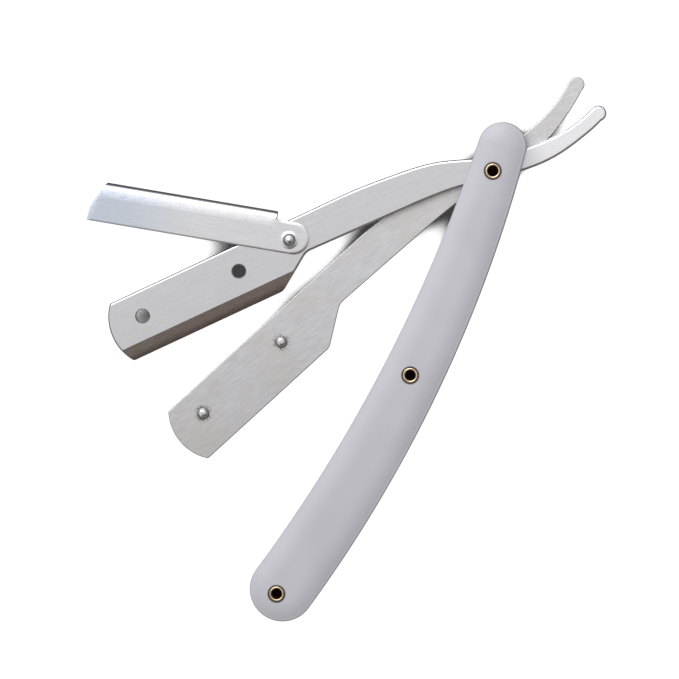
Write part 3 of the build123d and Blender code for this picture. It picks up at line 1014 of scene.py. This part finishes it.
class RAZOR_OT_stage(bpy.types.Operator):
    """Set up the floor, lights and camera"""

    bl_idname = "razor.stage"
    bl_label = "Stage"

    def execute(self, context):
        scene, settings = context.scene, context.scene.razor_stage
        scene.view_settings.view_transform = "Standard"
        self.make_world(scene, settings)
        self.make_floor()
        self.make_key(settings)
        self.make_card()
        back = (TILT_TOWARDS * math.sin(settings.tilt) + Vector((0, 0, math.cos(settings.tilt)))).normalized()
        lens = bpy.data.cameras.new("camera")
        lens.lens = lens.sensor_width * settings.distance / settings.field
        lens.clip_start, lens.clip_end = 0.01, 10
        camera = bpy.data.objects.new("camera", lens)
        scene.collection.objects.link(camera)
        camera.location = TARGET + back * settings.distance
        look_from(camera, back, IMAGE_RIGHT)
        scene.camera = camera
        return {"FINISHED"}

    def make_world(self, scene, settings):
        """Soft sky, bright overhead and towards the main light, and dark on the far side."""
        world = bpy.data.worlds.new("soft_sky")
        scene.world = world
        world.use_nodes = True
        tree = world.node_tree
        direction = add(tree, "ShaderNodeTexCoord").outputs["Generated"]
        both = {0: direction, 1: tuple(lean(SKY_LEAN))}
        facing = add(tree, "ShaderNodeVectorMath", both, operation="DOT_PRODUCT").outputs["Value"]
        height = add(tree, "ShaderNodeSeparateXYZ", {"Vector": direction}).outputs["Z"]
        above = remap(tree, height, 0.08, 0.42, 0.45, 1.0)
        bright = maths(tree, "MULTIPLY", above, remap(tree, facing, 0.18, 0.84, 0.24, settings.sky))
        tree.links.new(bright, tree.nodes["Background"].inputs["Strength"])
        tree.nodes["Background"].inputs["Color"].default_value = (0.99, 0.99, 1.0, 1)

    def make_floor(self):
        """Floor that looks pale and, to the razor, is a dark table. Its glow carries a painted shadow from
        ambient occlusion: it dims under the arms and most in their holes.
        """
        floor = stage_plane("floor", FLOOR_SIZE, FLOOR_PLACE, Vector((0, 0, 1)))
        material, tree = bare_material("floor_pale")
        # Painted shadow: the floor's glow is set by ambient occlusion, so it darkens where parts of the razor
        # close it in.
        open_sky = add(tree, "ShaderNodeAmbientOcclusion", {"Distance": 0.016}, samples=40).outputs["AO"]
        glow = remap(tree, open_sky, 0.33, 0.45, 0.05, 1.1)
        pale = add(tree, "ShaderNodeEmission", {"Color": (1, 1, 1, 1), "Strength": glow}).outputs[0]
        dark = add(tree, "ShaderNodeBsdfDiffuse", {"Color": (0.10, 0.09, 0.085, 1)}).outputs[0]
        seen = add(tree, "ShaderNodeLightPath").outputs["Is Camera Ray"]
        mixed = add(tree, "ShaderNodeMixShader", {0: seen, 1: dark, 2: pale}).outputs[0]
        tree.links.new(mixed, tree.nodes["Material Output"].inputs["Surface"])
        floor.data.materials.append(material)

    def make_key(self, settings):
        """Main light, high on the upper left."""
        back = lean(KEY_LEAN)
        light = bpy.data.lights.new("key", "AREA")
        light.shape, light.size, light.energy = "SQUARE", KEY_SIZE, settings.key_power
        key = bpy.data.objects.new("key", light)
        bpy.context.scene.collection.objects.link(key)
        key.location = TARGET + back * KEY_DISTANCE
        look_from(key, back, IMAGE_RIGHT)

    def make_card(self):
        """Dark brown card, low on the right, that only reflections see."""
        card = stage_plane("card", CARD_SIZE, TARGET + CARD_BACK * CARD_DISTANCE, CARD_BACK)
        material, tree = bare_material("card_brown")
        glow = add(tree, "ShaderNodeEmission", {"Color": (0.15, 0.108, 0.085, 1), "Strength": 1.0}).outputs[0]
        tree.links.new(glow, tree.nodes["Material Output"].inputs["Surface"])
        card.data.materials.append(material)
        card.visible_camera = card.visible_diffuse = card.visible_shadow = False


class RAZOR_PT_panel(bpy.types.Panel):
    """Lists the razor's pieces and their settings"""

    bl_idname = "RAZOR_PT_panel"
    bl_label = "Razor"
    bl_space_type = "VIEW_3D"
    bl_region_type = "UI"
    bl_category = "Razor"

    def draw(self, context):
        for operator in OPERATORS:
            self.layout.operator(operator.bl_idname)
        for name, group in SETTINGS.items():
            box = self.layout.box()
            settings = getattr(context.scene, name)
            for key in group.__annotations__:
                box.prop(settings, key)


SETTINGS = {
    "razor_handle": RazorHandleSettings,
    "razor_rivet": RazorRivetSettings,
    "razor_steel": RazorSteelSettings,
    "razor_clip": RazorClipSettings,
    "razor_stage": RazorStageSettings,
}
OPERATORS = (
    RAZOR_OT_scales,
    RAZOR_OT_rivets,
    RAZOR_OT_studs,
    RAZOR_OT_spine_clip,
    RAZOR_OT_arms,
    RAZOR_OT_inner_pieces,
    RAZOR_OT_stage,
)


def register():
    """Register the settings, operators and panel."""
    for name, group in SETTINGS.items():
        bpy.utils.register_class(group)
        setattr(bpy.types.Scene, name, bpy.props.PointerProperty(type=group))
    for item in (*OPERATORS, RAZOR_PT_panel):
        bpy.utils.register_class(item)


def unregister():
    """Take everything out again."""
    for item in (RAZOR_PT_panel, *reversed(OPERATORS)):
        bpy.utils.unregister_class(item)
    for name, group in reversed(SETTINGS.items()):
        delattr(bpy.types.Scene, name)
        bpy.utils.unregister_class(group)


def main():
    """Build everything in order."""
    register()
    for build in (build_brushed_grain, build_fine_scratches, build_mottle, build_rubbed_and_shaded_edges, build_dirt_and_shade_spot):
        build()
    bpy.ops.razor.scales()
    bpy.ops.razor.rivets()
    bpy.ops.razor.studs()
    bpy.ops.razor.spine_clip()
    bpy.ops.razor.arms()
    bpy.ops.razor.inner_pieces()
    bpy.ops.razor.stage()


if __name__ == "__main__":
    main()
